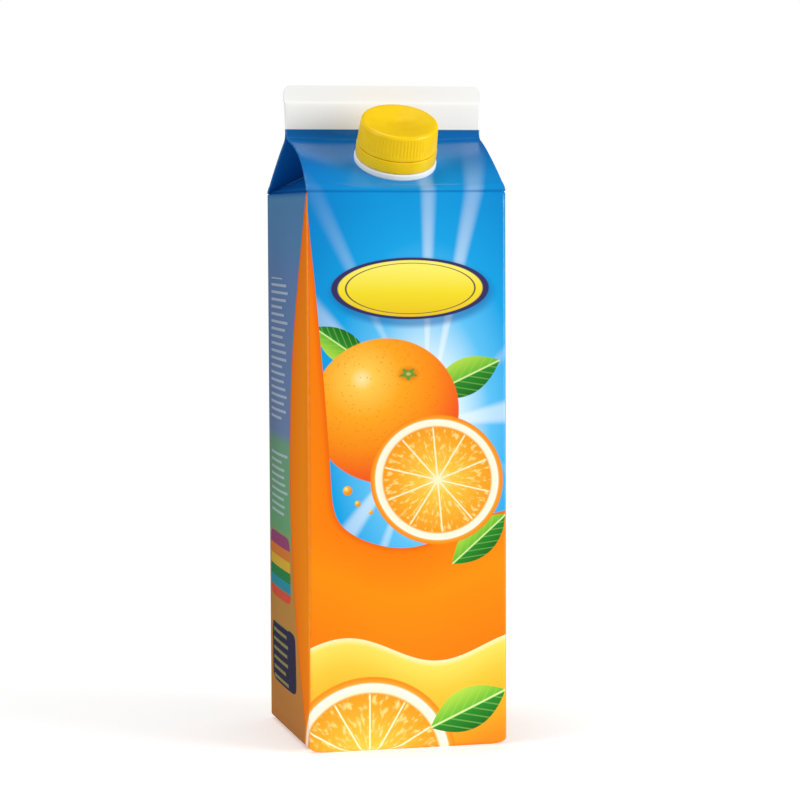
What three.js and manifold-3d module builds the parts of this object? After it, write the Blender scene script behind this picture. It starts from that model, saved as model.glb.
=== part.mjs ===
// A one-litre gable-top drink carton, shut, with a screw cap on its front roof panel.
// Millimetres, +Z up. The origin is the middle of the base, and the front faces -Y.
import * as THREE from "three";
import Module from "manifold-3d";

// Driving dimensions of the carton
const PANEL = 70; // width of each of the four panels, fold to fold
const SHOULDER = 191.6; // height of the fold where the roof starts
const ROOF_RISE = 18.8; // from the shoulder up to the foot of the fin
const FIN_LOWER = 12; // height of the fin's four-ply part
const FIN_UPPER = 6.5; // height of the two-ply strip above it
const BOARD = 0.5; // thickness of one ply
const EDGE_RADIUS = 1.6; // of the four upright folds
const SWELL = 1.6; // how far the drink pushes each panel out at its middle
const FIN_CORNER = 3; // radius of the fin's upper corners
const FIN_SPLAY = 0.3; // how far the fin's ends stand out past the panels
const STRIP_SPLAY = 0.7; // and those of its two-ply strip

// How far each roof panel bows out of its plane, along its middle and along its folded edges,
// and how far the gusset draws those edges in
const FRONT_ROOF = { middle: 0.5, edge: 3.0, pull: 0.9 };
const BACK_ROOF = { middle: 0.6, edge: 1.0, pull: 0.1 };
const BOW_FROM = 16; // the bow changes between this distance from the middle and the edge
const BOW_POWER = 0.75; // below 1, so the panel is flat on top and bends near its two folds

// Driving dimensions of the base. The broad panels turn under in a tight fold, and the sides in
// a long slope, so that the pack's corners stand clear of the ground.
const BASE_TURN = { height: 2, broad: 1.4, side: 5.6 };
const POCKET_WIDE = 50; // the pressed-in middle, from side to side
const POCKET_DEEP = 58; // and from front to back
const POCKET_DEPTH = 0.9;
const POCKET_CORNER = 4;
const LAP_AT = 5; // where the outer base flap ends, behind the middle

// Driving dimensions of the closure, measured along its own axis
const CAP_ALONG_ROOF = 20.4; // from the shoulder fold up the roof to the cap's axis
const SEAT_GAP = 0.3; // between pieces that sit on each other
const FLANGE_RADIUS = 14.7;
const FLANGE_HEIGHT = 2.1;
const FLANGE_BEVEL = 0.4;
const NECK_RADIUS = 11.8;
const BAND_RADIUS = 14;
const BAND_BORE = 12.3;
const BAND_HEIGHT = 3.5;
const BAND_BEVEL = 0.35;
const CAP_FOOT_RADIUS = 13.85;
const CAP_TOP_RADIUS = 13.4;
const CAP_HEIGHT = 9;
const CAP_ROUND = 1.1; // of the cap's upper edge
const RIB_COUNT = 72;
const RIB_DEPTH = 0.22;
const RIB_MARGIN = 1.3; // plain height below and above the ribs

// How finely the surfaces are divided
const ACROSS_PANEL = 16;
const ACROSS_FOLD = 4;
const ACROSS_FLAP = 4;
const BODY_STEPS = 12;
const ROOF_STEPS = 9;
const ROUND_STEPS = 4;
const TURN_STEPS = 72;
const POINTS_PER_RIB = 2;

const HALF = PANEL / 2;
const RIDGE = SHOULDER + ROOF_RISE;
const FIN_HALF = 2 * BOARD; // half the thickness of the four-ply fin
const ROOF_RUN = HALF - FIN_HALF;
const ROOF_LENGTH = Math.hypot(ROOF_RUN, ROOF_RISE);
const ROOF_SLOPE = Math.atan2(ROOF_RISE, ROOF_RUN);
const WING = 2 * BOARD; // a roof panel with the gusset flap folded under it
const LAST_ROOF_STEP = 0.94; // share of the rise where the gusset closes under the ridge

const { clamp, lerp, smoothstep } = THREE.MathUtils;
const wasm = await Module();
wasm.setup();

// count + 1 even steps from 0 to 1
const steps = (count) => Array.from({ length: count + 1 }, (_, i) => i / count);

// How far a full panel stands out, at a share from -1 to 1 across it
function swell(across, z) {
  const up = Math.sin(Math.PI * clamp(z / SHOULDER, 0, 1));
  return SWELL * Math.cos((Math.PI / 2) * across) * up ** 0.8;
}

// A point of a roof panel: side is -1 for the front and 1 for the back, rise goes from 0 at
// the shoulder to 1 at the ridge, and depth is measured into the board.
function roofPoint(side, x, rise, depth = 0) {
  const { middle, edge } = side < 0 ? FRONT_ROOF : BACK_ROOF;
  const toEdge = smoothstep(Math.abs(x), BOW_FROM, HALF);
  const out = lerp(middle, edge, toEdge) * Math.sin(Math.PI * rise) ** BOW_POWER - depth;
  const y = HALF - ROOF_RUN * rise + Math.sin(ROOF_SLOPE) * out;
  return new THREE.Vector3(x, side * y, SHOULDER + ROOF_RISE * rise + Math.cos(ROOF_SLOPE) * out);
}

// One ring of the carton: both broad panels, and the right-hand side that the left one mirrors.
// Each side runs round a fold, along a flap to the gusset's valley, across the middle and back.
function ring({ panel, fold, flap, middle }) {
  const broad = (side) => steps(ACROSS_PANEL).map((s) => panel(side, lerp(-1, 1, s)));
  const turn = (side) => [
    ...steps(ACROSS_FOLD).slice(1, -1).map((s) => fold(side, s)),
    ...steps(ACROSS_FLAP).map((s) => flap(side, s)),
  ];
  const across = steps(ACROSS_PANEL).slice(1, -1).map((s) => middle(lerp(-1, 1, s)));
  const right = [...turn(-1), ...across, ...turn(1).reverse()];
  const left = right.map((p) => new THREE.Vector3(-p.x, p.y, p.z)).reverse();
  return [...broad(-1), ...right, ...broad(1).reverse(), ...left];
}

// The square tube below the shoulder. Where it turns under the base, its broad panels and its
// sides are drawn in by a share of their own turn.
function bodyRing(z, turnShare = 0) {
  const halfWide = HALF - BASE_TURN.side * turnShare;
  const halfDeep = HALF - BASE_TURN.broad * turnShare;
  const flatWide = halfWide - EDGE_RADIUS;
  const flatDeep = halfDeep - EDGE_RADIUS;
  const corner = (side, s) => {
    const angle = (Math.PI / 2) * s;
    const x = flatWide + EDGE_RADIUS * Math.sin(angle);
    return new THREE.Vector3(x, side * (flatDeep + EDGE_RADIUS * Math.cos(angle)), z);
  };
  return ring({
    panel: (side, t) => new THREE.Vector3(t * flatWide, side * (halfDeep + swell(t, z)), z),
    fold: corner,
    flap: (side) => corner(side, 1),
    middle: (t) => new THREE.Vector3(halfWide + swell(t, z), t * flatDeep, z),
  });
}

// The gable. The side's middle triangle leans in under the ridge, and its two flaps lie flat
// under the roof panels, so the panels' edges are folds of two plies.
function roofRing(rise) {
  const bend = WING / 2;
  const valley = HALF * (1 - rise);
  const flat = (side) => {
    const { pull } = side < 0 ? FRONT_ROOF : BACK_ROOF;
    return HALF - bend - pull * Math.sin(Math.PI * rise);
  };
  const flap = (side, s) => roofPoint(side, lerp(flat(side), valley, s), rise, WING);
  return ring({
    panel: (side, t) => roofPoint(side, t * flat(side), rise),
    fold: (side, s) => {
      const angle = Math.PI * s;
      const x = flat(side) + bend * Math.sin(angle);
      return roofPoint(side, x, rise, bend * (1 - Math.cos(angle)));
    },
    flap,
    middle: (t) => flap(-1, 1).lerp(flap(1, 1), (t + 1) / 2),
  });
}

// The fin. Its ends are two folds side by side, with a groove between them.
function finRing(z, reach, halfThick) {
  const bend = halfThick / 2;
  const fold = (side, s) => {
    const angle = Math.PI * s;
    const x = reach - bend + bend * Math.sin(angle);
    return new THREE.Vector3(x, side * (bend + bend * Math.cos(angle)), z);
  };
  const groove = fold(1, 1).setY(0);
  return ring({
    panel: (side, t) => new THREE.Vector3(t * (reach - bend), side * halfThick, z),
    fold,
    flap: () => groove.clone(),
    middle: () => groove.clone(),
  });
}

// A closed geometry through rings of equal length, from the lowest to the highest.
// Points that fall together are one vertex, and faces that close up on them are left out.
function loft(rings) {
  const positions = [];
  const known = new Map();
  const indexOf = (p) => {
    const key = [p.x, p.y, p.z].map((value) => Math.round(value * 1e4) || 0).join();
    if (!known.has(key)) {
      known.set(key, positions.length / 3);
      positions.push(p.x, p.y, p.z);
    }
    return known.get(key);
  };
  const rows = rings.map((points) => points.map(indexOf));
  const index = [];
  const addFace = (a, b, c) => {
    if (a !== b && b !== c && c !== a) index.push(a, b, c);
  };
  for (let i = 0; i + 1 < rows.length; i++) {
    const [low, high] = [rows[i], rows[i + 1]];
    low.forEach((a, j) => {
      const next = (j + 1) % low.length;
      addFace(a, low[next], high[next]);
      addFace(a, high[next], high[j]);
    });
  }
  const close = (row, points, upward) => {
    const kept = points.map((_, j) => j).filter((j) => row[j] !== row[(j + 1) % row.length]);
    const outline = kept.map((j) => new THREE.Vector2(points[j].x, points[j].y));
    for (const [a, b, c] of THREE.ShapeUtils.triangulateShape(outline, [])) {
      const [p, q, r] = [row[kept[a]], row[kept[b]], row[kept[c]]];
      if (upward) addFace(p, q, r);
      else addFace(p, r, q);
    }
  };
  close(rows[0], rings[0], false);
  close(rows.at(-1), rings.at(-1), true);
  const geometry = new THREE.BufferGeometry();
  geometry.setAttribute("position", new THREE.Float32BufferAttribute(positions, 3));
  return geometry.setIndex(index);
}

function toSolid(geometry) {
  const vertProperties = new Float32Array(geometry.getAttribute("position").array);
  const triVerts = new Uint32Array(geometry.index.array);
  return new wasm.Manifold(new wasm.Mesh({ numProp: 3, vertProperties, triVerts }));
}

function toGeometry(solid) {
  const { vertProperties, triVerts } = solid.getMesh();
  const geometry = new THREE.BufferGeometry();
  geometry.setAttribute("position", new THREE.BufferAttribute(vertProperties, 3));
  geometry.setIndex(new THREE.BufferAttribute(triVerts, 1));
  geometry.computeVertexNormals();
  return geometry;
}

function cartonGeometry() {
  const rings = [];
  for (const s of steps(ROUND_STEPS)) {
    const angle = (Math.PI / 2) * s;
    rings.push(bodyRing(BASE_TURN.height * (1 - Math.cos(angle)), 1 - Math.sin(angle)));
  }
  for (const s of steps(BODY_STEPS).slice(1)) {
    rings.push(bodyRing(lerp(BASE_TURN.height, SHOULDER, s)));
  }
  for (const s of steps(ROOF_STEPS).slice(1)) rings.push(roofRing(LAST_ROOF_STEP * s));

  const strip = RIDGE + FIN_LOWER;
  const stripReach = HALF + STRIP_SPLAY;
  rings.push(finRing(RIDGE, HALF, FIN_HALF), finRing(strip, HALF + FIN_SPLAY, FIN_HALF));
  rings.push(finRing(strip + BOARD, stripReach, FIN_HALF / 2));
  for (const s of steps(ROUND_STEPS)) {
    const angle = (Math.PI / 2) * s;
    const reach = stripReach - FIN_CORNER * (1 - Math.cos(angle));
    rings.push(finRing(strip + FIN_UPPER - FIN_CORNER * (1 - Math.sin(angle)), reach, FIN_HALF / 2));
  }
  return toGeometry(toSolid(loft(rings)).subtract(basePocket(-HALF, POCKET_DEPTH))
    .subtract(basePocket(LAP_AT, POCKET_DEPTH + BOARD)));
}

// The pressed-in middle of the base, from a line across it to its rear edge. The two base flaps
// lap there, so it is cut once for both, and one ply deeper behind the outer flap's edge.
function basePocket(fromY, depth) {
  const [halfWide, halfDeep] = [POCKET_WIDE / 2, POCKET_DEEP / 2];
  const round = (right, back, from) => steps(ROUND_STEPS).map((s) => {
    const angle = from + (Math.PI / 2) * s;
    const x = right * (halfWide - POCKET_CORNER) + POCKET_CORNER * Math.cos(angle);
    const y = back * (halfDeep - POCKET_CORNER) + POCKET_CORNER * Math.sin(angle);
    return [x, y];
  });
  const front = fromY > -halfDeep
    ? [[-halfWide, fromY], [halfWide, fromY]]
    : [...round(-1, -1, Math.PI), ...round(1, -1, 1.5 * Math.PI)];
  const outline = [...front, ...round(1, 1, 0), ...round(-1, 1, Math.PI / 2)];
  const level = (z) => outline.map(([x, y]) => new THREE.Vector3(x, y, z));
  return toSolid(loft([level(-1), level(depth)]));
}

// Rings round the Z axis, one for each radius and height of an outline that runs upward
function turned(outline, count = TURN_STEPS, relief = () => 0) {
  return outline.map(([radius, z]) => Array.from({ length: count }, (_, i) => {
    const angle = (2 * Math.PI * i) / count;
    const r = radius + relief(i, z);
    return new THREE.Vector3(r * Math.cos(angle), r * Math.sin(angle), z);
  }));
}

// A quarter circle of an outline, in from a radius at the side to the flat above it
const roundOver = (radius, top, bend) => steps(ROUND_STEPS).map((s) => {
  const angle = (Math.PI / 2) * s;
  return [radius - bend * (1 - Math.cos(angle)), top - bend * (1 - Math.sin(angle))];
});

// The moulded spout: a flange welded to the roof, and the neck that the band and cap go round
function spoutGeometry() {
  const neckTop = FLANGE_HEIGHT + SEAT_GAP + BAND_HEIGHT;
  return loft(turned([
    [FLANGE_RADIUS, 0],
    [FLANGE_RADIUS, FLANGE_HEIGHT - FLANGE_BEVEL],
    [FLANGE_RADIUS - FLANGE_BEVEL, FLANGE_HEIGHT],
    [NECK_RADIUS, FLANGE_HEIGHT],
    [NECK_RADIUS, neckTop],
  ]));
}

// The tamper band that stays on the neck when the cap is first turned
function bandGeometry() {
  const outside = loft(turned([
    [BAND_RADIUS - BAND_BEVEL, 0],
    [BAND_RADIUS, BAND_BEVEL],
    [BAND_RADIUS, BAND_HEIGHT - BAND_BEVEL],
    [BAND_RADIUS - BAND_BEVEL, BAND_HEIGHT],
  ]));
  const bore = loft(turned([[BAND_BORE, -1], [BAND_BORE, BAND_HEIGHT + 1]]));
  return toGeometry(toSolid(outside).subtract(toSolid(bore)));
}

// The screw cap, with fine grip ribs that stop short of its foot and its rounded top
function capGeometry() {
  const ribTop = CAP_HEIGHT - CAP_ROUND - RIB_MARGIN;
  const radiusAt = (z) => lerp(CAP_FOOT_RADIUS, CAP_TOP_RADIUS, z / CAP_HEIGHT);
  const ribs = (i, z) => {
    const onRibs = z > RIB_MARGIN && z < ribTop;
    return onRibs && i % POINTS_PER_RIB ? -RIB_DEPTH : 0;
  };
  const ribEnds = [RIB_MARGIN, RIB_MARGIN + RIB_DEPTH, ribTop - RIB_DEPTH, ribTop];
  return loft(turned([
    [CAP_FOOT_RADIUS, 0],
    ...ribEnds.map((z) => [radiusAt(z), z]),
    ...roundOver(CAP_TOP_RADIUS, CAP_HEIGHT, CAP_ROUND),
  ], RIB_COUNT * POINTS_PER_RIB, ribs));
}

const printedBoard = new THREE.MeshStandardMaterial({ color: "#1e8fd6", roughness: 0.38, metalness: 0 });
const whitePlastic = new THREE.MeshStandardMaterial({ color: "#f2f3f0", roughness: 0.4, metalness: 0 });
const yellowPlastic = new THREE.MeshStandardMaterial({ color: "#f5c800", roughness: 0.35, metalness: 0 });

function addPiece(parent, name, geometry, material, height = 0) {
  const mesh = new THREE.Mesh(geometry, material);
  mesh.name = name;
  mesh.position.z = height;
  parent.add(mesh);
}

// The closure's own frame stands on the front roof panel, square to it.
const closure = new THREE.Group();
const seat = roofPoint(-1, 0, CAP_ALONG_ROOF / ROOF_LENGTH, -SEAT_GAP);
closure.position.copy(seat);
closure.rotation.x = ROOF_SLOPE;
const bandFoot = FLANGE_HEIGHT + SEAT_GAP;
addPiece(closure, "spout", spoutGeometry(), whitePlastic);
addPiece(closure, "tamper_band", bandGeometry(), yellowPlastic, bandFoot);
addPiece(closure, "cap", capGeometry(), yellowPlastic, bandFoot + BAND_HEIGHT + SEAT_GAP);

const juiceCarton = new THREE.Group();
addPiece(juiceCarton, "carton", cartonGeometry(), printedBoard);
juiceCarton.add(closure);

export default juiceCarton;
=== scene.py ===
"""A one-litre gable-top juice carton: printed board folded round the drink, with a screw cap."""

import math

import bpy
import numpy as np
from mathutils import Matrix, Vector


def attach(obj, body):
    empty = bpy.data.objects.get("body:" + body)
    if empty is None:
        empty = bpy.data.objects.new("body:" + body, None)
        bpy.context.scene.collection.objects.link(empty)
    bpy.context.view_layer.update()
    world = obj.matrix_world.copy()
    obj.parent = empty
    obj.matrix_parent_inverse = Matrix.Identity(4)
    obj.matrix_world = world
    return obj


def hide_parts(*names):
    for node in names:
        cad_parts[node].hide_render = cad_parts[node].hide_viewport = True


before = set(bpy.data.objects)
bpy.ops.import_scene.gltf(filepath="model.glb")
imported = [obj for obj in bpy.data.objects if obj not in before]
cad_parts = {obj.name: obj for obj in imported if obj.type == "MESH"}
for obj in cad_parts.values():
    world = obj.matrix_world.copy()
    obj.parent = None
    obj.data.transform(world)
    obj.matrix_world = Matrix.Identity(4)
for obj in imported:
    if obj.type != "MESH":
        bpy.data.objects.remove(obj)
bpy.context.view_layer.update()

MM = 0.001

# Driving sizes of the carton in millimetres, close to those of its solid
PANEL = 70.0
HALF = PANEL / 2
SHOULDER = 191.6
ROOF_RISE = 18.8
FIN_LOWER = 12.0
FIN_UPPER = 6.5
BOARD = 0.5
EDGE_RADIUS = 1.3
SWELL = 1.6
LONG_DENT = 0.16
SHORT_DENT = 0.09
FIN_CORNER = 3.0
FIN_SPLAY = 0.3
STRIP_SPLAY = 0.7
FIN_STEP = 1.2  # the height over which the fin thins to its strip
FRONT_ROOF = {"middle": 0.9, "edge": 3.0, "pull": 0.9}
BACK_ROOF = {"middle": 0.6, "edge": 1.0, "pull": 0.1}
BOW_FROM = 16.0
BOW_POWER = 0.75
CREASE = 0.7  # how far from a scored fold the board starts to bend
ROLL_LENGTH = 4.6  # the roof's roll just above the shoulder fold, along the roof
ROLL_HEIGHT = 0.4
SCORE_DEPTH = 0.3
FIN_CREASE = 2.2
BASE_TURN = {"height": 2.0, "broad": 1.4, "side": 5.6}
POCKET_WIDE = 50.0
POCKET_DEEP = 58.0
POCKET_DEPTH = 0.9
POCKET_CORNER = 4.0
POCKET_SLOPE = 0.5
LAP_AT = 5.0

# Driving sizes of the closure in millimetres, close to those of its solids, with a deeper tear
# band over a thinner flange
CAP_ALONG_ROOF = 20.4
SEAT_GAP = 0.3
FLANGE_RADIUS = 14.3
FLANGE_HEIGHT = 1.5
FLANGE_RIM = 0.5
FLANGE_SUNK = 0.35
NECK_RADIUS = 11.8
BAND_RADIUS = 14.0
BAND_BORE = 12.3
BAND_HEIGHT = 4.1
BAND_SOFT = 0.3
CAP_FOOT_RADIUS = 13.85
CAP_TOP_RADIUS = 13.4
CAP_HEIGHT = 9.0
CAP_ROUND = 1.1
RIB_COUNT = 72
RIB_DEPTH = 0.12
RIB_MARGIN = 1.3
BRIDGE_COUNT = 12
TEAR_GAP = 0.14

RIDGE = SHOULDER + ROOF_RISE
FIN_HALF = 2 * BOARD
WING = 2 * BOARD
ROOF_RUN = HALF - FIN_HALF
ROOF_LENGTH = math.hypot(ROOF_RUN, ROOF_RISE)
ROOF_SLOPE = math.atan2(ROOF_RISE, ROOF_RUN)
LAST_ROOF_STEP = 0.93
FIN_TOP = RIDGE + FIN_LOWER + FIN_UPPER

# The flat sheet that the carton is folded from: across it run the left side, front, right side
# and back, and up it the panels, the roof and the fin
SHEET_MAP = "sheet"
SHEET_TURN = 4 * PANEL
SHEET_RIDGE = SHOULDER + ROOF_LENGTH
SHEET_TOP = SHEET_RIDGE + FIN_LOWER + FIN_UPPER
BARE_RIM = -7.0
BARE_FLOOR = -8.0

# How finely the board is divided
ACROSS_PANEL = 56
ACROSS_FOLD = 8
ACROSS_FLAP = 16
TURN_STEPS = 180


# A range that eases in and out
EASED = {"interpolation_type": "SMOOTHSTEP"}


def ink(hex_colour):
    """An sRGB hex colour as a linear RGBA value."""
    channels = [int(hex_colour[i:i + 2], 16) / 255 for i in (1, 3, 5)]
    linear = [c / 12.92 if c <= 0.04045 else ((c + 0.055) / 1.055) ** 2.4 for c in channels]
    return (*linear, 1.0)


def add(tree, kind, *inputs, out=0, stops=None, **settings):
    """Add a node with its settings, fill its inputs in order, and return one of its outputs.

    A kind in capitals is the operation of a Math node. An input is a value, another node's
    output, or None to leave it as it is. Stops are the places and colours of a ramp."""
    if kind.isupper():
        kind, settings["operation"] = "ShaderNodeMath", kind
    node = tree.nodes.new(kind)
    for name, value in settings.items():
        setattr(node, name, value)
    for socket, value in zip(node.inputs, inputs):
        if isinstance(value, bpy.types.NodeSocket):
            tree.links.new(value, socket)
        elif value is not None:
            socket.default_value = value
    if stops:
        ramp = node.color_ramp.elements
        while len(ramp) < len(stops):
            ramp.new(1.0)
        for element, (position, colour) in zip(ramp, stops):
            element.position = position
            element.color = ink(colour)
    return node.outputs[out]


def smoothstep(value, low, high):
    share = np.clip((value - low) / (high - low), 0, 1)
    return share * share * (3 - 2 * share)


# The folded board


def swell(across, z):
    """How far the drink pushes a panel out, at a share from -1 to 1 across it."""
    up = np.sin(np.pi * np.clip(z / SHOULDER, 0, 1))
    return SWELL * np.cos(np.pi / 2 * across) * up ** 0.8


def dents(across, z, side):
    """The slight unevenness of a filled pack's panel, which shows in its gloss."""
    fade = np.cos(np.pi / 2 * across) * math.sin(math.pi * min(max(z / SHOULDER, 0), 1))
    long_wave = np.sin(2.3 * across + z / 31 + 1.7 * side)
    short_wave = np.sin(4.1 * across - z / 13 + 0.9 * side)
    return fade * (LONG_DENT * long_wave + SHORT_DENT * short_wave)


def roof_point(side, x, rise, depth=0.0):
    """Points of a roof panel: side is -1 for the front, and rise goes from shoulder to ridge."""
    roof = FRONT_ROOF if side < 0 else BACK_ROOF
    x = np.asarray(x, float)
    to_edge = smoothstep(np.abs(x), BOW_FROM, HALF)
    bow = roof["middle"] + (roof["edge"] - roof["middle"]) * to_edge
    roll = ROLL_HEIGHT * math.sin(math.pi * min(rise * ROOF_LENGTH / ROLL_LENGTH, 1))
    out = bow * math.sin(math.pi * rise) ** BOW_POWER + roll - depth
    y = HALF - ROOF_RUN * rise + math.sin(ROOF_SLOPE) * out
    z = SHOULDER + ROOF_RISE * rise + math.cos(ROOF_SLOPE) * out
    return np.stack([x, side * y, z], axis=-1)


def points(x, y, z):
    return np.stack(np.broadcast_arrays(*(np.asarray(v, float) for v in (x, y, z))), axis=-1)


def ring(panel, fold, flap, middle):
    """One ring round the carton, from the rear left fold, with its places across the sheet.

    Each argument gives points and how far they lie from the panel's corner fold. The right
    side runs round a fold, along a flap to the gusset's valley, across and back."""
    shares = np.sin(np.linspace(-0.5, 0.5, ACROSS_PANEL + 1) * np.pi)
    fold_shares = np.linspace(0, 1, ACROSS_FOLD + 1)[1:-1]
    flap_shares = np.linspace(0, 1, ACROSS_FLAP + 1)

    def turn(side):
        runs = [fold(side, fold_shares), flap(side, flap_shares)]
        return [np.concatenate(values) for values in zip(*runs)]

    front_turn, back_turn = turn(-1), turn(1)
    across, across_along = middle(shares[1:-1])
    right = np.concatenate([front_turn[0], across, back_turn[0][::-1]])
    along = np.concatenate([front_turn[1], across_along, PANEL - back_turn[1][::-1]])
    front, back = panel(-1, shares), panel(1, shares)[::-1]
    left = (right * (-1, 1, 1))[::-1]
    ring_points = np.concatenate([left, front, right, back])
    places = np.concatenate([-along[::-1], HALF + front[:, 0], PANEL + along, 2.5 * PANEL - back[:, 0]])
    return ring_points, places


def tube_ring(z, half_wide, half_deep, radius, swollen=True):
    """A ring of the square tube or of its base."""
    flat_wide, flat_deep = half_wide - radius, half_deep - radius
    bulge = 1.0 if swollen else 0.0

    def panel(side, shares):
        out = bulge * (swell(shares, z) + dents(shares, z, side))
        return points(shares * flat_wide, side * (half_deep + out), z)

    def fold(side, shares):
        angle = np.pi / 2 * shares
        x = flat_wide + radius * np.sin(angle)
        y = flat_deep + radius * np.cos(angle)
        return points(x, side * y, z), radius * (2 * shares - 1)

    def flap(side, shares):
        return fold(side, np.ones_like(shares))

    def middle(shares):
        out = bulge * (swell(shares, z) + dents(shares, z, 2))
        return points(half_wide + out, shares * flat_deep, z), HALF + shares * flat_deep

    return ring(panel, fold, flap, middle)


def roof_ring(rise):
    """A ring of the gable. The side's flaps lie flat under the roof panels' edges."""
    bend = WING / 2
    valley = HALF * (1 - rise)

    def flat(side):
        roof = FRONT_ROOF if side < 0 else BACK_ROOF
        return HALF - bend - roof["pull"] * math.sin(math.pi * rise)

    def panel(side, shares):
        return roof_point(side, shares * flat(side), rise)

    def fold(side, shares):
        angle = np.pi * shares
        x = flat(side) + bend * np.sin(angle)
        return roof_point(side, x, rise, bend * (1 - np.cos(angle))), bend * (2 * shares - 1)

    def flap(side, shares):
        x = flat(side) + shares * (valley - flat(side))
        return roof_point(side, x, rise, WING), bend + flat(side) - x

    def middle(shares):
        front, back = (roof_point(side, valley, rise, WING) for side in (-1, 1))
        share = (shares[:, None] + 1) / 2
        return front + (back - front) * share, HALF + shares * valley

    return ring(panel, fold, flap, middle)


def fin_ring(z, reach, half_thick):
    """A ring of the fin. Its ends are two folds side by side, with a groove between them."""
    bend = half_thick / 2

    def panel(side, shares):
        return points(shares * (reach - bend), side * half_thick, z)

    def fold(side, shares):
        angle = np.pi * shares
        x = reach - bend + bend * np.sin(angle)
        return points(x, side * bend * (1 + np.cos(angle)), z), bend * (2 * shares - 1)

    def flap(side, shares):
        return points(np.full_like(shares, reach - bend), 0, z), np.full_like(shares, bend)

    def middle(shares):
        return points(np.full_like(shares, reach - bend), 0, z), HALF + 0 * shares

    return ring(panel, fold, flap, middle)


def bent(ring_below, ring_fold, ring_above, share):
    """A ring part of the way round a scored fold, on the curve that the fold pulls."""
    weights = ((1 - share) ** 2, 2 * share * (1 - share), share ** 2)
    rings = (ring_below, ring_fold, ring_above)
    return tuple(sum(w * r[i] for w, r in zip(weights, rings)) for i in (0, 1))


def carton_rings():
    """All rings of the board from the base's middle to the fin's upper edge, with sheet heights."""
    rings = []

    def put(height, ring_of_points):
        rings.append((height, *ring_of_points))

    halves = (POCKET_WIDE / 2, POCKET_DEEP / 2)
    inner = [half - POCKET_SLOPE for half in halves]
    put(BARE_FLOOR, tube_ring(POCKET_DEPTH, *inner, POCKET_CORNER, swollen=False))
    put(BARE_RIM, tube_ring(0, *halves, POCKET_CORNER, swollen=False))
    for share in np.linspace(0, 1, 9):
        angle = math.pi / 2 * share
        inset = 1 - math.sin(angle)
        half_wide = HALF - BASE_TURN["side"] * inset
        half_deep = HALF - BASE_TURN["broad"] * inset
        z = BASE_TURN["height"] * (1 - math.cos(angle))
        put(z - 2 * inset, tube_ring(z, half_wide, half_deep, EDGE_RADIUS))

    below_fold = SHOULDER - CREASE
    for share in np.linspace(0, 1, 49)[1:]:
        z = BASE_TURN["height"] + share * (below_fold - BASE_TURN["height"])
        put(z, tube_ring(z, HALF, HALF, EDGE_RADIUS))

    fold_rise = CREASE / ROOF_LENGTH
    shoulder = [tube_ring(z, HALF, HALF, EDGE_RADIUS) for z in (below_fold, SHOULDER)]
    first_roof = roof_ring(fold_rise)
    for share in np.linspace(0, 1, 9)[1:]:
        crossing, places = bent(*shoulder, first_roof, share)
        inward = 1 - SCORE_DEPTH * math.sin(math.pi * share) / HALF
        put(below_fold + 2 * CREASE * share, (crossing * (inward, inward, 1), places))
    for share in np.linspace(0, 1, 34)[1:]:
        rise = fold_rise + share * (LAST_ROOF_STEP - fold_rise)
        put(SHOULDER + ROOF_LENGTH * rise, roof_ring(rise))

    strip = RIDGE + FIN_LOWER
    strip_reach = HALF + STRIP_SPLAY
    to_sheet = SHEET_RIDGE - RIDGE
    last_roof, foot = roof_ring(LAST_ROOF_STEP), fin_ring(RIDGE, HALF, FIN_HALF)
    above = fin_ring(RIDGE + FIN_CREASE, HALF, FIN_HALF)
    for share in np.linspace(0, 1, 9)[1:]:
        height = SHOULDER + ROOF_LENGTH * LAST_ROOF_STEP
        put(height + share * (SHEET_RIDGE + FIN_CREASE - height), bent(last_roof, foot, above, share))
    for share in np.linspace(0, 1, 9)[1:]:
        z = RIDGE + FIN_CREASE + share * (FIN_LOWER - FIN_CREASE)
        put(z + to_sheet, fin_ring(z, HALF + FIN_SPLAY * share, FIN_HALF))
    for share in np.linspace(0, 1, 6)[1:]:
        ease = smoothstep(share, 0, 1)
        z = strip + FIN_STEP * share
        thick = FIN_HALF * (1 - 0.5 * ease)
        put(z + to_sheet, fin_ring(z, HALF + FIN_SPLAY + (STRIP_SPLAY - FIN_SPLAY) * ease, thick))
    for share in np.linspace(0, 1, 13):
        angle = math.pi / 2 * share
        z = FIN_TOP - FIN_CORNER * (1 - math.sin(angle))
        put(z + to_sheet, fin_ring(z, strip_reach - FIN_CORNER * (1 - math.cos(angle)), FIN_HALF / 2))
    top_reach = strip_reach - FIN_CORNER
    put(SHEET_TOP + 0.2, fin_ring(FIN_TOP, top_reach, FIN_HALF / 2 - 0.08))
    put(SHEET_TOP + 0.4, fin_ring(FIN_TOP - 0.05, top_reach, 0.12))
    put(SHEET_TOP + 0.6, fin_ring(FIN_TOP - 0.3, top_reach, 0.0))
    return rings


def lapped_flap():
    """The base flap that laps over the other, one board proud of the pocket's floor."""
    wide = POCKET_WIDE / 2 - POCKET_SLOPE
    front = -POCKET_DEEP / 2 + POCKET_SLOPE
    low, high = POCKET_DEPTH - BOARD, POCKET_DEPTH
    outline = [(-wide, front), (wide, front), (wide, LAP_AT), (-wide, LAP_AT)]
    corners = np.array([(x, y, z) for z in (low, high) for x, y in outline])
    faces = [[3, 2, 1, 0], [2, 3, 7, 6], [1, 2, 6, 5], [3, 0, 4, 7], [0, 1, 5, 4]]
    return corners, faces


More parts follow.
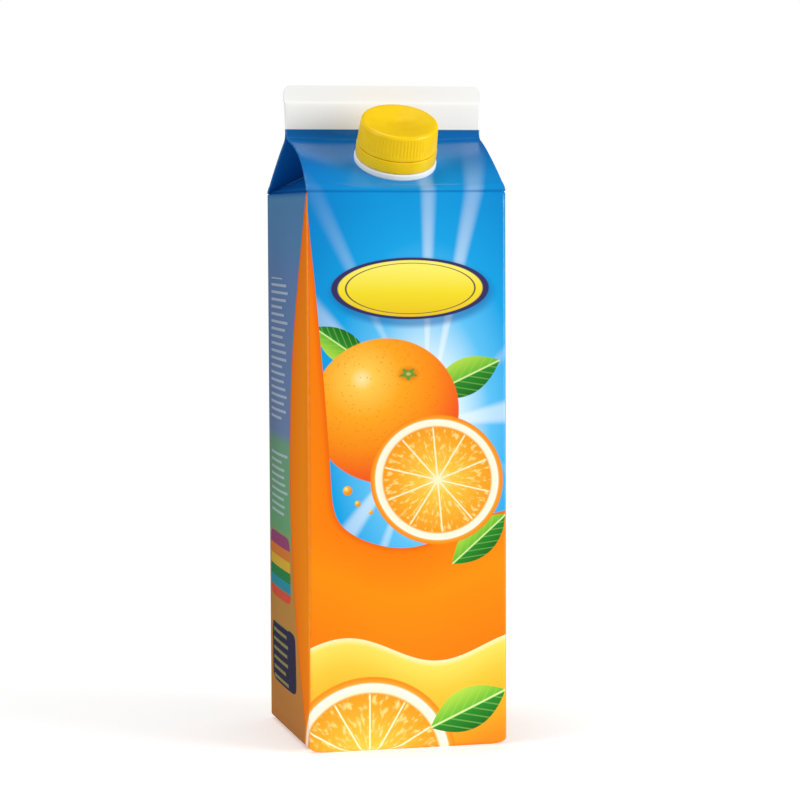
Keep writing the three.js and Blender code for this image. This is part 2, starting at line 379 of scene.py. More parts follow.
def lofted_mesh(name, rings):
    """A mesh through rings of equal length, with their places on the sheet as its UV map."""
    coordinates = np.array([ring_points for _, ring_points, _ in rings])
    heights = np.array([height for height, _, _ in rings])
    across = np.array([np.append(places, places[0] + SHEET_TURN) for _, _, places in rings])
    rows, columns = coordinates.shape[:2]
    rounded = np.round(coordinates.reshape(-1, 3), 4)
    vertices, index = np.unique(rounded, axis=0, return_inverse=True)
    index = index.reshape(rows, columns)
    floor = list(dict.fromkeys(index[0].tolist()))[::-1]
    faces, corners = [floor], [(0.0, heights[0])] * len(floor)
    for i in range(rows - 1):
        for j in range(columns):
            quad = ((i, j), (i, j + 1), (i + 1, j + 1), (i + 1, j))
            face, places = [], []
            for row, column in quad:
                vertex = index[row, column % columns]
                if vertex not in face:
                    face.append(vertex)
                    places.append((across[row, column], heights[row]))
            if len(face) > 2:
                faces.append(face)
                corners.extend(places)
    lap_points, lap_faces = lapped_flap()
    faces.extend([[len(vertices) + corner for corner in face] for face in lap_faces])
    corners.extend([(0.0, heights[0])] * sum(len(face) for face in lap_faces))
    mesh = bpy.data.meshes.new(name)
    mesh.from_pydata((np.concatenate([vertices, lap_points]) * MM).tolist(), [], faces)
    mesh.uv_layers.new(name=SHEET_MAP).data.foreach_set("uv", np.array(corners, np.float32).ravel())
    flat_count = len(lap_faces)
    smooth = [False] + [True] * (len(faces) - 1 - flat_count) + [False] * flat_count
    mesh.polygons.foreach_set("use_smooth", smooth)
    return mesh


def add_piece(mesh, material):
    piece = bpy.data.objects.new(mesh.name, mesh)
    bpy.context.scene.collection.objects.link(piece)
    if material.name not in mesh.materials:
        mesh.materials.append(material)
    return piece


# Inks and surfaces. Places and sizes of print are millimetres on the flat sheet, where the front
# runs across from 0 to 70 and the left side from -70 to 0

GLOW = {"centre": (41, 112), "radius": (64, 118)}
BADGE = {"centre": (36, 158.6), "radius": (28, 10.6)}
BADGE_SHADOW = {"centre": (36.6, 157.2), "radius": (29.5, 12.2)}
WHOLE_ORANGE = {"centre": (27, 117), "radius": (26, 25)}
CUT_ORANGE = {"centre": (45, 93), "radius": (24, 22.5), "turn": -14}
BASE_ORANGE = {"centre": (21, -5), "radius": (31, 31), "turn": 30}
LEAVES_BEHIND = (
    {"centre": (12, 139), "radius": (12, 5.5), "turn": 145},
    {"centre": (55, 128), "radius": (14, 6.5), "turn": 24},
)
LEAF_BESIDE = {"centre": (60, 72), "radius": (13, 6), "turn": 40}
LEAF_AT_BASE = {"centre": (56, 13), "radius": (15, 7.5), "turn": 24}
JUICE_DROPS = (
    {"centre": (13.5, 90), "radius": (1.7, 1.7)},
    {"centre": (17, 85.5), "radius": (1.1, 1.1)},
    {"centre": (21.5, 82.5), "radius": (0.8, 0.8)},
)
JUICE_WAVE = {"level": 76.0, "swing": 6.0, "span": 82.0, "phase": 2.2}
LIGHT_WAVE = {"level": 35.0, "swing": 4.5, "span": 64.0, "phase": 0.3}
SWEEP_TOP = SHOULDER - 4
SWEEP_ON_FRONT = 10.5
SWEEP_ON_SIDE = 25.0
SIDE_SWEEP_MIDDLE = 92.0
SIDE_SWEEP_HALF = 100.0
SIDE_BARS = {"centre": (-46, 59), "radius": (20, 12)}
SIDE_BLOCK = {"centre": (-42, 27), "radius": (22, 11)}
FIELD_RULES = 2.6
BLOCK_RULES = 3.4
RULES_FROM = -61.0
RULES_TO = -27.0
RULES_RAGGED = -12.0
WHITE_FROM = SHEET_RIDGE + 3.1
FIBRE_WIDTH = 0.625  # wider than real fibres, so that the board's grain shows


def new_material(name, **finish):
    """A material with its Principled shader, whose even values are set on its own sockets."""
    material = bpy.data.materials.new(name)
    material.use_nodes = True
    tree = material.node_tree
    shader = tree.nodes["Principled BSDF"]
    for socket, value in finish.items():
        shader.inputs[socket.replace("_", " ")].default_value = value
    return material, tree, shader


def motif(tree, sheet, centre, radius, turn=0.0):
    """A motif's own coordinates, in which its outline lies one unit from its centre.

    Gives the point, its distance from the centre, and its places across and up."""
    rotation = (0, 0, math.radians(turn))
    spot = add(tree, "ShaderNodeMapping", sheet, (*centre, 0), rotation, (*radius, 1),
               vector_type="TEXTURE")
    distance = add(tree, "ShaderNodeVectorMath", spot, operation="LENGTH", out=1)
    across, up = add(tree, "ShaderNodeSeparateXYZ", spot).node.outputs[:2]
    return spot, distance, across, up


def lay(tree, below, colour, measure, full, none, strength=1.0):
    """One ink laid over what is printed below it: solid where a measure reaches one value, and
    gone where it reaches another."""
    mask = add(tree, "ShaderNodeMapRange", measure, full, none, strength, 0.0, **EASED)
    unused = [None] * 5
    return add(tree, "ShaderNodeMix", mask, *unused, below, colour, out=2, data_type="RGBA")


def print_sky(tree, sheet):
    """A bright sky that glows behind the fruit and deepens to the roof, with soft beams in it."""
    _, distance, x, y = motif(tree, sheet, **GLOW)
    sky = add(tree, "ShaderNodeValToRGB", distance, stops=[
        (0.0, "#FFFFFF"), (0.2, "#CDECFB"), (0.36, "#5CC0F2"), (0.54, "#10A2E4"), (0.76, "#048CD2"),
        (1.0, "#0474C0"),
    ])
    angle = add(tree, "ARCTAN2", y, x)
    fine = add(tree, "SINE", add(tree, "MULTIPLY_ADD", angle, 17.0, 0.4))
    broad = add(tree, "SINE", add(tree, "MULTIPLY_ADD", angle, 5.0, 1.1))
    beams = add(tree, "MULTIPLY_ADD", broad, 0.6, fine)
    fading = add(tree, "ShaderNodeMapRange", distance, 0.22, 1.12, 0.55, 0.0, **EASED)
    return lay(tree, sky, ink("#F2FAFF"), beams, 1.5, 0.5, fading)


def print_badge(tree, sheet, below):
    """A plain oval plate with a dark border and a fine line inside it."""
    _, from_shadow, _, _ = motif(tree, sheet, **BADGE_SHADOW)
    below = lay(tree, below, ink("#0B5FA6"), from_shadow, 0.86, 1.06, 0.6)
    _, distance, _, y = motif(tree, sheet, **BADGE)
    below = lay(tree, below, ink("#3A3464"), distance, 0.98, 1.0)
    gold = add(tree, "ShaderNodeValToRGB", add(tree, "MULTIPLY_ADD", y, 0.5, 0.5), stops=[
        (0.1, "#EBC81C"), (0.45, "#F4DE2C"), (0.85, "#FBF06A"),
    ])
    below = lay(tree, below, gold, distance, 0.895, 0.92)
    from_hairline = add(tree, "ABSOLUTE", add(tree, "SUBTRACT", distance, 0.81))
    return lay(tree, below, ink("#6A5A4E"), from_hairline, 0.006, 0.016)


def print_leaf(tree, sheet, below, leaf):
    """A pointed leaf with a pale rib, fine veins and one half in shade."""
    _, _, x, y = motif(tree, sheet, **leaf)
    from_rib = add(tree, "ABSOLUTE", y)
    distance = add(tree, "MULTIPLY_ADD", x, x, from_rib)
    green = add(tree, "ShaderNodeValToRGB", add(tree, "MULTIPLY_ADD", y, 0.5, 0.5), stops=[
        (0.0, "#1C6B22"), (0.46, "#2C8A2C"), (0.54, "#6CBB34"), (1.0, "#B4DC48"),
    ])
    slant = add(tree, "MULTIPLY_ADD", from_rib, -0.7, x)
    veins = add(tree, "SINE", add(tree, "MULTIPLY", slant, 22.0))
    green = lay(tree, green, ink("#A6D860"), veins, 1.0, 0.7, 0.35)
    green = lay(tree, green, ink("#D2EC9A"), from_rib, 0.02, 0.07)
    return lay(tree, below, green, distance, 0.95, 1.0)


def print_whole_orange(tree, sheet, below):
    """A whole fruit, lit from its upper left, with the pores of its peel and its stalk scar."""
    spot, distance, _, _ = motif(tree, sheet, **WHOLE_ORANGE)
    from_light = add(tree, "ShaderNodeVectorMath", spot, (-0.32, 0.44, 0), operation="DISTANCE", out=1)
    peel = add(tree, "ShaderNodeValToRGB", add(tree, "MULTIPLY", from_light, 0.64), stops=[
        (0.0, "#FFE9A6"), (0.1, "#FFCB4E"), (0.34, "#FCA71E"), (0.62, "#F88A12"), (0.84, "#F2601A"),
        (1.0, "#E0460F"),
    ])
    pores = add(tree, "ShaderNodeTexVoronoi", spot, None, 17.0)
    peel = lay(tree, peel, ink("#E06E08"), pores, 0.06, 0.3, 0.5)
    _, from_scar, x, y = motif(tree, spot, (0.3, 0.5), (0.2, 0.14))
    peel = lay(tree, peel, ink("#DE6A0A"), from_scar, 0.2, 1.0, 0.8)
    five_points = add(tree, "SINE", add(tree, "MULTIPLY", add(tree, "ARCTAN2", y, x), 5.0))
    star = add(tree, "MULTIPLY", from_scar, add(tree, "MULTIPLY_ADD", five_points, 0.3, 1.0))
    peel = lay(tree, peel, ink("#6E9A32"), star, 0.4, 0.5)
    peel = lay(tree, peel, ink("#C9B46A"), from_scar, 0.12, 0.2)
    return lay(tree, below, peel, distance, 0.98, 1.0)


def print_cut_orange(tree, sheet, below, fruit, segments):
    """The cut face of a fruit: peel, pith and juicy segments between pale skins."""
    _, distance, x, y = motif(tree, sheet, **fruit)
    angle = add(tree, "ARCTAN2", y, x)
    face = add(tree, "ShaderNodeValToRGB", distance, stops=[
        (0.0, "#FFF4D0"), (0.07, "#FFE08A"), (0.2, "#FFC640"), (0.6, "#FBA926"), (0.8, "#F99A1A"),
        (0.83, "#FFF3D2"), (0.91, "#FFF8E6"), (0.93, "#FBA428"), (1.0, "#F47C0C"),
    ])
    flesh = add(tree, "ShaderNodeMapRange", distance, 0.78, 0.81, 1.0, 0.0)
    streaks = add(tree, "ShaderNodeCombineXYZ", add(tree, "MULTIPLY", angle, 4.6),
                  add(tree, "MULTIPLY", distance, 3.4))
    juice = add(tree, "ShaderNodeTexNoise", streaks, None, 2.6, 3.0)
    face = lay(tree, face, ink("#FFE38C"), juice, 0.68, 0.5, add(tree, "MULTIPLY", flesh, 0.75))
    half_turns = add(tree, "SINE", add(tree, "MULTIPLY", angle, segments / 2))
    from_skin = add(tree, "MULTIPLY", add(tree, "ABSOLUTE", half_turns), distance)
    face = lay(tree, face, ink("#FFF1C4"), from_skin, 0.025, 0.085, flesh)
    return lay(tree, below, face, distance, 0.98, 1.0)


def wave_depth(tree, x, height, level, swing, span, phase):
    """How far a point lies under a wave of juice."""
    swell_at = add(tree, "SINE", add(tree, "MULTIPLY_ADD", x, 2 * math.pi / span, phase))
    crest = add(tree, "MULTIPLY_ADD", swell_at, swing, level)
    return add(tree, "SUBTRACT", crest, height)


def print_juice(tree, x, height, on_front, below):
    """A sweep of juice that climbs the corner and breaks in a wave across the front."""
    from_corner = add(tree, "ABSOLUTE", x)
    share_up = add(tree, "DIVIDE", height, SWEEP_TOP)
    taper = add(tree, "SUBTRACT", 1.0, add(tree, "MULTIPLY", share_up, share_up))
    sweep = add(tree, "SUBTRACT", add(tree, "MULTIPLY", taper, SWEEP_ON_FRONT), from_corner)
    wave = wave_depth(tree, x, height, **JUICE_WAVE)
    front_depth = add(tree, "SMOOTH_MAX", sweep, wave, 14.0)
    share_out = add(tree, "DIVIDE", add(tree, "SUBTRACT", height, SIDE_SWEEP_MIDDLE), SIDE_SWEEP_HALF)
    bow = add(tree, "SUBTRACT", 1.0, add(tree, "MULTIPLY", share_out, share_out))
    side_depth = add(tree, "SUBTRACT", add(tree, "MULTIPLY", bow, SWEEP_ON_SIDE), from_corner)
    depth = add(tree, "ShaderNodeMix", on_front, None, side_depth, front_depth)
    juice = add(tree, "ShaderNodeValToRGB", add(tree, "DIVIDE", depth, 44.0), stops=[
        (0.0, "#F06402"), (0.05, "#F87E04"), (0.4, "#F98E06"), (1.0, "#F97C04"),
    ])
    return lay(tree, below, juice, depth, 0.25, 0.0)


def print_light_wave(tree, x, height, on_front, below):
    """A second, lighter wave with a pale crest near the base of the front."""
    depth = wave_depth(tree, x, height, **LIGHT_WAVE)
    light = add(tree, "ShaderNodeValToRGB", add(tree, "DIVIDE", depth, 34.0), stops=[
        (0.0, "#FFF0BC"), (0.07, "#FCDC5A"), (0.3, "#F9C63C"), (0.7, "#F9A81C"), (1.0, "#F58A18"),
    ])
    return lay(tree, below, light, depth, 0.25, 0.0, on_front)


def print_juice_drop(tree, sheet, below, drop):
    """A drop of juice with a small light in it."""
    spot, distance, _, _ = motif(tree, sheet, **drop)
    from_light = add(tree, "ShaderNodeVectorMath", spot, (-0.3, 0.35, 0), operation="DISTANCE", out=1)
    juice = add(tree, "ShaderNodeValToRGB", add(tree, "MULTIPLY", from_light, 0.7), stops=[
        (0.0, "#FFF6D8"), (0.14, "#FFD77A"), (0.4, "#FBAA22"), (1.0, "#EE7A06"),
    ])
    return lay(tree, below, juice, distance, 0.92, 1.0)


def print_rules(tree, x, height, spacing, below, colour, strength):
    """Plain rules of uneven length, one above the other."""
    line = add(tree, "DIVIDE", height, spacing)
    row = add(tree, "ShaderNodeTexWhiteNoise", None, add(tree, "FLOOR", line), noise_dimensions="1D")
    row_end = add(tree, "MULTIPLY_ADD", row, RULES_RAGGED, RULES_TO)
    middle = add(tree, "MULTIPLY_ADD", row_end, 0.5, RULES_FROM / 2)
    from_middle = add(tree, "ABSOLUTE", add(tree, "SUBTRACT", x, middle))
    half_row = add(tree, "MULTIPLY_ADD", row_end, 0.5, -RULES_FROM / 2)
    in_row = add(tree, "MULTIPLY", add(tree, "LESS_THAN", from_middle, half_row), strength)
    return lay(tree, below, colour, add(tree, "FRACT", line), 0.34, 0.38, in_row)


def print_block(tree, sheet, block):
    """How far out a point lies in a block with round corners, and its place up the block."""
    _, _, across, up = motif(tree, sheet, **block)
    across_power = add(tree, "POWER", add(tree, "ABSOLUTE", across), 8.0)
    up_power = add(tree, "POWER", add(tree, "ABSOLUTE", up), 8.0)
    return add(tree, "ADD", across_power, up_power), up


def print_side(tree, sheet, x, height, on_front, below):
    """The side: quiet fields with plain rules, a small table of bars and a dark block."""
    share_up = add(tree, "DIVIDE", height, SHOULDER)
    field = add(tree, "ShaderNodeValToRGB", share_up, stops=[
        (0.0, "#BC7A3C"), (0.2, "#C08A44"), (0.34, "#BC8E44"), (0.38, "#6DA878"), (0.54, "#72A284"),
        (0.56, "#7288B0"), (0.84, "#6484B4"), (0.9, "#5A86B6"), (0.99, "#5288B4"), (1.0, "#0A62B0"),
    ])
    in_text = add(tree, "ShaderNodeValToRGB", share_up, stops=[
        (0.0, "#000000"), (0.4, "#FFFFFF"), (0.52, "#000000"), (0.58, "#FFFFFF"), (0.84, "#000000"),
    ])
    in_text.node.color_ramp.interpolation = "CONSTANT"
    text_ink = add(tree, "MULTIPLY", in_text, 0.6)
    field = print_rules(tree, x, height, FIELD_RULES, field, ink("#CBD8E6"), text_ink)
    out_of_bars, up = print_block(tree, sheet, SIDE_BARS)
    bars = add(tree, "ShaderNodeValToRGB", add(tree, "MULTIPLY_ADD", up, 0.5, 0.5), stops=[
        (0.0, "#D8583C"), (0.16, "#2F94A6"), (0.32, "#2F8A4E"), (0.48, "#DDB43A"), (0.64, "#DC7E34"),
        (0.8, "#9C4A74"),
    ])
    bars.node.color_ramp.interpolation = "CONSTANT"
    field = lay(tree, field, bars, out_of_bars, 0.85, 1.0)
    block = print_rules(tree, x, height, BLOCK_RULES, ink("#35344E"), ink("#A8A058"), 0.7)
    out_of_block, _ = print_block(tree, sheet, SIDE_BLOCK)
    field = lay(tree, field, block, out_of_block, 0.85, 1.0)
    return lay(tree, field, below, on_front, 1.0, 0.0)


def print_folds_and_painted_shade(tree, across, height, uv, below):
    """What folding and sealing leave: a bare white fin, a bare base, raw cut edges and a little
    rubbing along the corners; and painted shade: the roof and gussets darkened towards the
    ridge, and a dark painted crease shadow along the shoulder score."""
    # Painted shade: the roof panels and gussets darken towards the ridge, to half strength at the ridge.
    below = lay(tree, below, ink("#0A5AA0"), height, 2 * SHEET_RIDGE - SHOULDER, SHOULDER)
    # Painted shadow of the shoulder crease: a thin dark line along the score.
    from_score = add(tree, "ABSOLUTE", add(tree, "SUBTRACT", height, SHOULDER))
    below = lay(tree, below, ink("#08508E"), from_score, 0.15, 0.65, 0.45)
    below = lay(tree, below, ink("#F4F4F2"), height, WHITE_FROM + 0.25, WHITE_FROM)
    below = lay(tree, below, ink("#EFEDE6"), height, -3.2, -3.0)
    below = lay(tree, below, ink("#E4DAC2"), height, SHEET_TOP + 0.15, SHEET_TOP + 0.1)
    from_corner = add(tree, "PINGPONG", across, HALF)
    rubbing = add(tree, "ShaderNodeTexNoise", uv, None, 0.35, 4.0)
    rubbed = add(tree, "ShaderNodeMapRange", rubbing, 0.4, 0.75, 0.0, 0.07)
    return lay(tree, below, ink("#E8F2FA"), from_corner, 0.0, 0.9, rubbed)


def printed_board():
    """Liquid packaging board, offset printed and coated with polyethylene: clean inks under an
    even satin gloss, with pale wear where it is scored and folded, and painted shade over the
    roof and along the shoulder score."""
    material, tree, shader = new_material("printed_liquid_board", IOR=1.5, Specular_IOR_Level=0.28)
    uv = add(tree, "ShaderNodeUVMap", uv_map=SHEET_MAP)
    across, height = add(tree, "ShaderNodeSeparateXYZ", uv).node.outputs[:2]
    x = add(tree, "WRAP", across, PANEL, -PANEL)
    sheet = add(tree, "ShaderNodeCombineXYZ", x, height)
    on_front = add(tree, "GREATER_THAN", x, 0.0)

    colour = print_sky(tree, sheet)
    colour = print_badge(tree, sheet, colour)
    for leaf in LEAVES_BEHIND:
        colour = print_leaf(tree, sheet, colour, leaf)
    colour = print_whole_orange(tree, sheet, colour)
    colour = print_side(tree, sheet, x, height, on_front, colour)
    colour = print_juice(tree, x, height, on_front, colour)
    for drop in JUICE_DROPS:
        colour = print_juice_drop(tree, sheet, colour, drop)
    colour = print_leaf(tree, sheet, colour, LEAF_BESIDE)
    colour = print_cut_orange(tree, sheet, colour, CUT_ORANGE, segments=10)
    colour = print_light_wave(tree, x, height, on_front, colour)
    colour = print_cut_orange(tree, sheet, colour, BASE_ORANGE, segments=12)
    colour = print_leaf(tree, sheet, colour, LEAF_AT_BASE)
    colour = print_folds_and_painted_shade(tree, across, height, uv, colour)
    tree.links.new(colour, shader.inputs["Base Color"])

    fibres = add(tree, "ShaderNodeTexNoise", uv, None, 1 / FIBRE_WIDTH, 3.0)
    gloss = add(tree, "ShaderNodeMapRange", fibres, 0.3, 0.7, 0.18, 0.26)
    tree.links.new(gloss, shader.inputs["Roughness"])
    grain = add(tree, "ShaderNodeBump", 0.015, 0.0001, None, fibres)
    tree.links.new(grain, shader.inputs["Normal"])
    return material


def moulded_plastic(name, body, shade, roughness):
    """Injection-moulded polyethylene: one colour right through, a soft gloss and a faint orange
    peel from the mould."""
    material, tree, shader = new_material(name, IOR=1.51, Specular_IOR_Level=0.35)
    spot = add(tree, "ShaderNodeTexCoord", out=3)
    mottle = add(tree, "ShaderNodeTexNoise", spot, None, 1 / (4 * MM), 3.0)
    colour = add(tree, "ShaderNodeValToRGB", mottle, stops=[(0.3, shade), (0.7, body)])
    tree.links.new(colour, shader.inputs["Base Color"])
    peel = add(tree, "ShaderNodeTexNoise", spot, None, 1 / (0.5 * MM), 2.0)
    gloss = add(tree, "ShaderNodeMapRange", peel, 0.3, 0.7, roughness - 0.04, roughness + 0.04)
    tree.links.new(gloss, shader.inputs["Roughness"])
    tree.links.new(add(tree, "ShaderNodeBump", 0.05, 0.0001, None, peel), shader.inputs["Normal"])
    return material


# The closure


def arc(centre, radius, start, end, count=7):
    """Points of an outline along a circle, by its angles in degrees."""
    angles = np.radians(np.linspace(start, end, count))
    return [(centre[0] + radius * math.cos(a), centre[1] + radius * math.sin(a)) for a in angles]


def turned_mesh(name, outline, count=TURN_STEPS, closed=False):
    """A mesh turned round the Z axis from an outline of radii and heights, in millimetres.

    The outline starts and ends on the axis, or is a closed section."""
    angles = np.arange(count) * 2 * math.pi / count
    vertices, rows = [], []
    for radius, z in outline:
        if radius == 0:
            rows.append([len(vertices)] * count)
            vertices.append((0, 0, z * MM))
        else:
            rows.append(list(range(len(vertices), len(vertices) + count)))
            vertices.extend((radius * math.cos(a) * MM, radius * math.sin(a) * MM, z * MM) for a in angles)
    if closed:
        rows.append(rows[0])
    faces = []
    for low, high in zip(rows, rows[1:]):
        for j in range(count):
            k = (j + 1) % count
            face = dict.fromkeys((low[j], low[k], high[k], high[j]))
            faces.append(list(face))
    mesh = bpy.data.meshes.new(name)
    mesh.from_pydata(vertices, [], faces)
    mesh.polygons.foreach_set("use_smooth", [True] * len(faces))
    return mesh


def node_group(name, inputs):
    """A geometry tree with named inputs, and the sockets that give them."""
    tree = bpy.data.node_groups.new(name, "GeometryNodeTree")
    tree.interface.new_socket("Geometry", in_out="INPUT", socket_type="NodeSocketGeometry")
    for label, kind in inputs.items():
        tree.interface.new_socket(label, in_out="INPUT", socket_type=kind)
    tree.interface.new_socket("Geometry", in_out="OUTPUT", socket_type="NodeSocketGeometry")
    sockets = {s.name: s for s in tree.nodes.new("NodeGroupInput").outputs if s.name}
    return tree, sockets


def finish_tree(tree, geometry, material):
    realized = add(tree, "GeometryNodeRealizeInstances", geometry)
    painted = add(tree, "GeometryNodeSetMaterial", realized, None, material)
    tree.links.new(painted, tree.nodes.new("NodeGroupOutput").inputs[0])


def run_tree(mesh, tree, values):
    """The plain mesh that a geometry tree makes from a mesh, with its named inputs set."""
    name = mesh.name
    carrier = bpy.data.objects.new("carrier", mesh)
    bpy.context.scene.collection.objects.link(carrier)
    modifier = carrier.modifiers.new(tree.name, "NODES")
    modifier.node_group = tree
    for item in tree.interface.items_tree:
        if item.in_out == "INPUT" and item.name in values:
            modifier[item.identifier] = values[item.name]
    carrier.update_tag()
    evaluated = carrier.evaluated_get(bpy.context.evaluated_depsgraph_get())
    made = bpy.data.meshes.new_from_object(evaluated)
    carrier.modifiers.remove(modifier)
    bpy.data.objects.remove(carrier)
    bpy.data.meshes.remove(mesh)
    made.name = name
    return made


def rib_tree():
    """Presses evenly spaced grooves into a turned wall, between two heights."""
    tree, given = node_group("grip_ribs", {
        "Rib count": "NodeSocketFloat", "Rib depth": "NodeSocketFloat", "Ribs from": "NodeSocketFloat",
        "Ribs to": "NodeSocketFloat", "Wall radius": "NodeSocketFloat", "Material": "NodeSocketMaterial",
    })
    position = add(tree, "GeometryNodeInputPosition")
    parts = add(tree, "ShaderNodeSeparateXYZ", position).node.outputs
    angle = add(tree, "ARCTAN2", parts[1], parts[0])
    wave = add(tree, "COSINE", add(tree, "MULTIPLY", angle, given["Rib count"]))
    groove = add(tree, "ShaderNodeMapRange", wave, -0.4, 0.5, 0.0, 1.0, **EASED)
    end = add(tree, "MULTIPLY", given["Rib depth"], 2.0)
    foot = add(tree, "ADD", given["Ribs from"], end)
    head = add(tree, "SUBTRACT", given["Ribs to"], end)
    above = add(tree, "ShaderNodeMapRange", parts[2], given["Ribs from"], foot, **EASED)
    below = add(tree, "ShaderNodeMapRange", parts[2], given["Ribs to"], head, **EASED)
    flat = add(tree, "ShaderNodeCombineXYZ", parts[0], parts[1])
    from_axis = add(tree, "ShaderNodeVectorMath", flat, operation="LENGTH", out=1)
    on_wall = add(tree, "GREATER_THAN", from_axis, given["Wall radius"])
    depth = add(tree, "MULTIPLY", groove, add(tree, "MULTIPLY", above, below))
    depth = add(tree, "MULTIPLY", depth, add(tree, "MULTIPLY", on_wall, given["Rib depth"]))
    inward = add(tree, "ShaderNodeVectorMath", flat, operation="NORMALIZE")
    offset = add(tree, "ShaderNodeVectorMath", inward, None, None, add(tree, "MULTIPLY", depth, -1.0),
                 operation="SCALE")
    pressed = add(tree, "GeometryNodeSetPosition", given["Geometry"], None, None, offset)
    finish_tree(tree, pressed, given["Material"])
    return tree


def bridge_tree():
    """Sets a ring of small moulded bridges on a band, which tear when the cap is first turned."""
    tree, given = node_group("tear_bridges", {
        "Bridge count": "NodeSocketInt", "Ring radius": "NodeSocketFloat", "Ring height": "NodeSocketFloat",
        "Bridge size": "NodeSocketVector", "Material": "NodeSocketMaterial",
    })
    circle = add(tree, "GeometryNodeMeshCircle", given["Bridge count"], given["Ring radius"])
    lifted = add(tree, "GeometryNodeTransform", circle, None, add(
        tree, "ShaderNodeCombineXYZ", None, None, given["Ring height"]))
    bridge = add(tree, "GeometryNodeMeshCube", given["Bridge size"])
    position = add(tree, "GeometryNodeInputPosition")
    outward = add(tree, "FunctionNodeAlignRotationToVector", None, None, position)
    bridges = add(tree, "GeometryNodeInstanceOnPoints", lifted, None, bridge, None, None, outward)
    joined = add(tree, "GeometryNodeJoinGeometry")
    tree.links.new(bridges, joined.node.inputs[0])
    tree.links.new(given["Geometry"], joined.node.inputs[0])
    finish_tree(tree, joined, given["Material"])
    return tree


def spout_outline():
    """The welded flange with its rounded rim, and the neck inside the band and cap."""
    sunk = -SEAT_GAP - FLANGE_SUNK
    neck_top = FLANGE_HEIGHT + SEAT_GAP + BAND_HEIGHT
    rim = FLANGE_RIM
    return [
        (0, sunk), (FLANGE_RADIUS, sunk), (FLANGE_RADIUS, 0),
        *arc((FLANGE_RADIUS - rim, FLANGE_HEIGHT - rim), rim, 0, 90),
        (NECK_RADIUS + 0.3, FLANGE_HEIGHT), (NECK_RADIUS, FLANGE_HEIGHT + 0.3),
        (NECK_RADIUS, neck_top), (0, neck_top),
    ]


def band_outline():
    """The section of the tamper band, with soft moulded edges."""
    soft = BAND_SOFT
    height = BAND_HEIGHT + SEAT_GAP - TEAR_GAP
    right, top = BAND_RADIUS - soft, height - soft
    return [
        (BAND_BORE, 0), *arc((right, soft), soft, -90, 0),
        *arc((right, top), soft, 0, 90), (BAND_BORE, height),
    ]


def cap_outline():
    """The cap's section: foot, slightly tapered wall, rounded edge and a faintly dished top."""
    wall = [(CAP_FOOT_RADIUS + (CAP_TOP_RADIUS - CAP_FOOT_RADIUS) * s, (CAP_HEIGHT - CAP_ROUND) * s)
            for s in np.linspace(0.03, 1, 40)]
    dish = CAP_TOP_RADIUS - CAP_ROUND - 0.9
    return [
        (0, 0), (CAP_FOOT_RADIUS - 0.25, 0), *wall[:-1],
        *arc((CAP_TOP_RADIUS - CAP_ROUND, CAP_HEIGHT - CAP_ROUND), CAP_ROUND, 0, 90, 12),
        (dish, CAP_HEIGHT), (dish - 0.5, CAP_HEIGHT - 0.16), (2.2, CAP_HEIGHT - 0.16),
        (1.9, CAP_HEIGHT - 0.26), (0, CAP_HEIGHT - 0.28),
    ]


def build_closure():
    """The spout, band and cap, each turned upright and then set square on the front roof."""
    white = moulded_plastic("white_polyethylene", "#F4F5F2", "#EDEFEC", 0.38)
    yellow = moulded_plastic("yellow_polyethylene", "#FCD200", "#F8CA00", 0.32)
    seat = roof_point(-1, 0, CAP_ALONG_ROOF / ROOF_LENGTH, -SEAT_GAP)
    stand = Matrix.Translation(Vector(seat) * MM) @ Matrix.Rotation(ROOF_SLOPE, 4, "X")
    band_foot = FLANGE_HEIGHT + SEAT_GAP
    cap_foot = band_foot + BAND_HEIGHT + SEAT_GAP

    spout = turned_mesh("spout_flange", spout_outline())
    band = run_tree(turned_mesh("tear_band", band_outline(), closed=True), bridge_tree(), {
        "Bridge count": BRIDGE_COUNT, "Ring radius": (CAP_FOOT_RADIUS - 0.55) * MM,
        "Ring height": (BAND_HEIGHT + SEAT_GAP - TEAR_GAP / 2) * MM,
        "Bridge size": (1.0 * MM, 0.7 * MM, (TEAR_GAP + 0.1) * MM), "Material": yellow,
    })
    cap = run_tree(turned_mesh("screw_cap", cap_outline(), count=RIB_COUNT * 8), rib_tree(), {
        "Rib count": float(RIB_COUNT), "Rib depth": RIB_DEPTH * MM, "Ribs from": RIB_MARGIN * MM,
        "Ribs to": (CAP_HEIGHT - CAP_ROUND - 0.2) * MM, "Wall radius": (CAP_TOP_RADIUS - 0.4) * MM,
        "Material": yellow,
    })
    pieces = (
        (spout, "spout", white, 0.0, "white_plastic"),
        (band, "tamper_band", yellow, band_foot, "yellow_plastic"),
        (cap, "cap", yellow, cap_foot, "yellow_plastic"),
    )
    for mesh, node, material, height, slot in pieces:
        mesh.transform(stand @ Matrix.Translation((0, 0, height * MM)))
        piece = add_piece(mesh, material)
        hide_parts(node)
        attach(piece, "root")


def build_carton():
    carton = add_piece(lofted_mesh("folded_carton", carton_rings()), printed_board())
    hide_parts("carton")
    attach(carton, "root")


# The studio

CAMERA_AZIMUTH = -13.729
CAMERA_ELEVATION = 3.854
CAMERA_ROLL = -0.259
CAMERA_DISTANCE = 943.4
CAMERA_TARGET = (5.743, 0.0, 118.12)
FOCAL_SHARE = 2.817  # pixels of the image for a millimetre at the target
IMAGE_PIXELS = 800
SENSOR_WIDTH = 36.0

# Metres and watts
LIGHTS_AIM = (0, 0, 0.11)
SOFTBOXES = (
    {"name": "key", "location": (1.42, -1.05, 0.5), "size": 1.1, "power": 24},
    {"name": "fill", "location": (-1.7, -0.5, 0.5), "size": 1.1, "power": 10.5},
    {"name": "top", "location": (-0.1, 0.05, 1.5), "size": 0.4, "power": 3.2},
)
AMBIENT_ON_BOARD = 0.55
AMBIENT_IN_GLOSS = 0.03
FLOOR_HALF = 3.0
FLOOR_FADES = (0.05, 0.26)


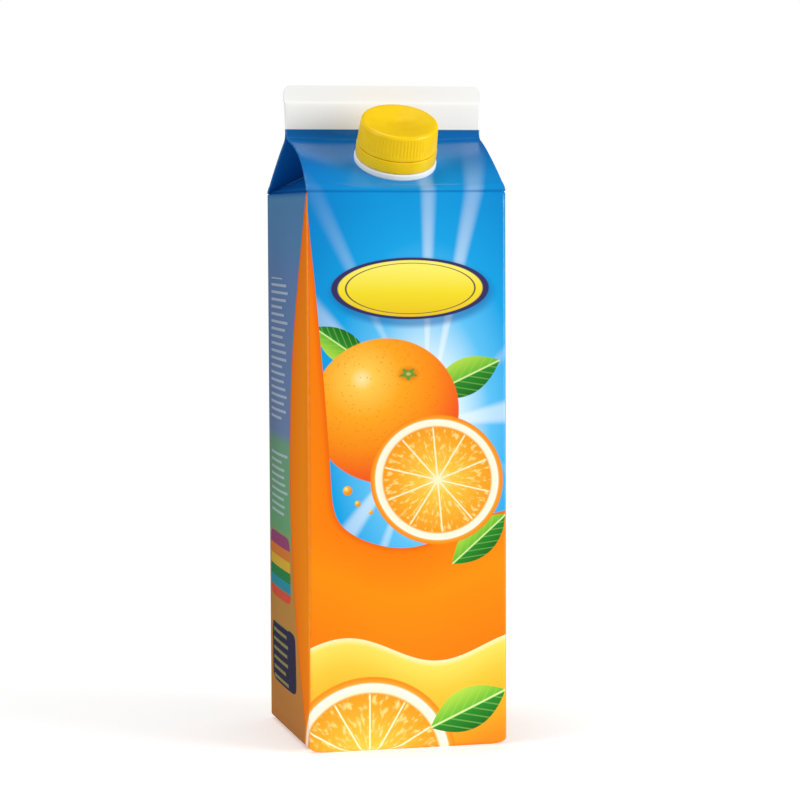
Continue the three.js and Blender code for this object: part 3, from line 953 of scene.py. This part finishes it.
def build_camera():
    data = bpy.data.cameras.new("camera")
    data.sensor_width = SENSOR_WIDTH
    data.lens = FOCAL_SHARE * CAMERA_DISTANCE / IMAGE_PIXELS * SENSOR_WIDTH
    camera = bpy.data.objects.new("camera", data)
    bpy.context.scene.collection.objects.link(camera)
    azimuth, elevation = math.radians(CAMERA_AZIMUTH), math.radians(CAMERA_ELEVATION)
    back = Vector((math.sin(azimuth) * math.cos(elevation), -math.cos(azimuth) * math.cos(elevation),
                   math.sin(elevation)))
    level = back.to_track_quat("Z", "Y").to_matrix().to_4x4()
    roll = Matrix.Rotation(math.radians(CAMERA_ROLL), 4, "Z")
    place_at = (Vector(CAMERA_TARGET) + back * CAMERA_DISTANCE) * MM
    camera.matrix_world = Matrix.Translation(place_at) @ level @ roll
    bpy.context.scene.camera = camera


def add_softbox(name, location, size, power):
    data = bpy.data.lights.new(name, "AREA")
    data.shape = "DISK"
    data.size = size
    data.energy = power
    lamp = bpy.data.objects.new(name, data)
    bpy.context.scene.collection.objects.link(lamp)
    lamp.location = location
    lamp.rotation_euler = (Vector(location) - Vector(LIGHTS_AIM)).to_track_quat("Z", "Y").to_euler()


def build_studio():
    """A white room: a large soft light from the right, weaker ones from the left and above, and a
    floor that fades into the white."""
    scene = bpy.context.scene
    scene.view_settings.view_transform = "Standard"
    for softbox in SOFTBOXES:
        add_softbox(**softbox)

    world = bpy.data.worlds.new("studio")
    scene.world = world
    world.use_nodes = True
    tree = world.node_tree
    path = add(tree, "ShaderNodeLightPath").node.outputs
    ambient = add(tree, "ShaderNodeMapRange", path["Is Glossy Ray"], 0.0, 1.0, AMBIENT_ON_BOARD,
                  AMBIENT_IN_GLOSS)
    strength = add(tree, "MAXIMUM", ambient, path["Is Camera Ray"])
    tree.links.new(strength, tree.nodes["Background"].inputs["Strength"])
    tree.nodes["Background"].inputs["Color"].default_value = (1, 1, 1, 1)

    mesh = bpy.data.meshes.new("floor")
    corners = [(x * FLOOR_HALF, y * FLOOR_HALF, 0) for x, y in ((-1, -1), (1, -1), (1, 1), (-1, 1))]
    mesh.from_pydata(corners, [], [(0, 1, 2, 3)])
    material, floor_tree, shader = new_material(
        "white_floor", Roughness=0.9, Base_Color=ink("#F6F6F6"), Emission_Color=ink("#FFFFFF"),
        Emission_Strength=0.3)
    spot = add(floor_tree, "ShaderNodeTexCoord", out=3)
    distance = add(floor_tree, "ShaderNodeVectorMath", spot, operation="LENGTH", out=1)
    clear = add(floor_tree, "ShaderNodeBsdfTransparent")
    fade = add(floor_tree, "ShaderNodeMapRange", distance, *FLOOR_FADES, **EASED)
    mixed = add(floor_tree, "ShaderNodeMixShader", fade, shader.outputs[0], clear)
    floor_tree.links.new(mixed, floor_tree.nodes["Material Output"].inputs["Surface"])
    floor = add_piece(mesh, material)
    floor.visible_glossy = False


build_camera()
build_carton()
build_closure()
build_studio()
